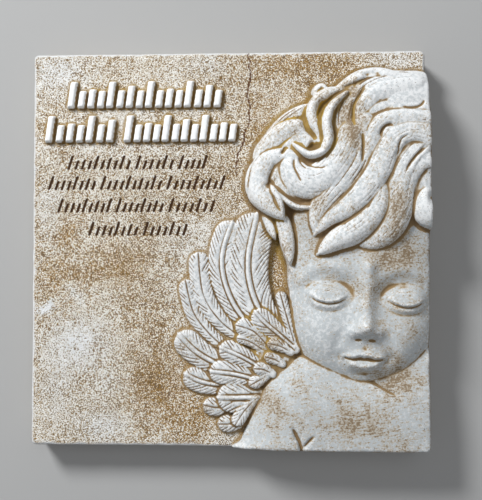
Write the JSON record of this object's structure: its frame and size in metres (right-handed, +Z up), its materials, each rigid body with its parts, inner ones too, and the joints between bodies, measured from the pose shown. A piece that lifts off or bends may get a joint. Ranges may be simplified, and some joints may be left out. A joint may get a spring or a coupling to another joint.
{
  "type": "wall relief plaque",
  "caption": "Square cast wall plaque with a sleeping child's head, shoulder and wing in relief and raised title strokes.",
  "frame": {"origin": "middle of the flat back face, where the plaque lies on the wall", "axes": "+Y out of the back into the wall, the carved front facing -Y, +X to the viewer's right, +Z up"},
  "size_m": [0.2, 0.0391, 0.2],
  "materials": {
    "cast_stone": "off-white sanded cast stone with an ochre-brown wash in the hollows"
  },
  "bodies": {
    "root": {"relief": "cast_stone"}
  },
  "joints": []
}
